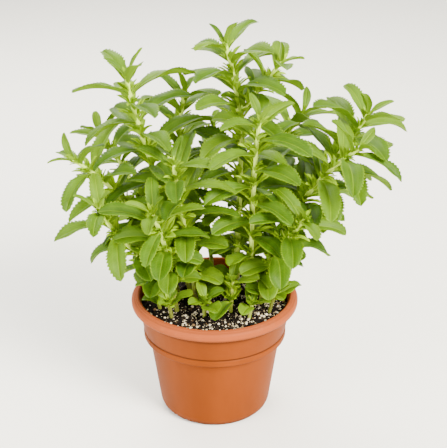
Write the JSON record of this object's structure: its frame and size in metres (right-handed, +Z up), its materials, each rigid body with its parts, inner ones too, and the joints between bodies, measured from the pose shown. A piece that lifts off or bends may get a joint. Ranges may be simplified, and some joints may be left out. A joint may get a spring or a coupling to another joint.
{
  "type": "potted stevia plant",
  "caption": "Stevia plant with upright leafy stems growing in potting mix in a round terracotta-coloured plastic pot.",
  "frame": {"origin": "centre of the pot's flat underside, on the surface that it stands on", "axes": "+Z up along the pot's axis; -Y towards the front, where the small shoots at the foot of the plant stand; +X to the right"},
  "size_m": [0.3098, 0.2344, 0.3617],
  "materials": {
    "pot_plastic": "satin",
    "potting_mix": "matte",
    "stevia_green": "satin"
  },
  "bodies": {
    "root": {"pot": "pot_plastic", "soil": "potting_mix", "stem_main": "stevia_green", "stem_left_tall": "stevia_green", "stem_right_tall": "stevia_green", "stem_right_long": "stevia_green", "stem_front_left": "stevia_green", "stem_centre_left": "stevia_green", "stem_centre_right": "stevia_green", "stem_left_mid": "stevia_green", "stem_left_low": "stevia_green", "stem_right_low": "stevia_green", "stem_left_upper": "stevia_green", "stem_left_back": "stevia_green", "stem_right_back": "stevia_green", "stem_back": "stevia_green", "shoot_left": "stevia_green", "shoot_front": "stevia_green", "shoot_middle": "stevia_green", "shoot_right": "stevia_green", "shoot_front_right": "stevia_green", "shoot_far_left": "stevia_green", "shoot_back_left": "stevia_green", "shoot_back_right": "stevia_green", "shoot_back": "stevia_green"}
  },
  "joints": []
}
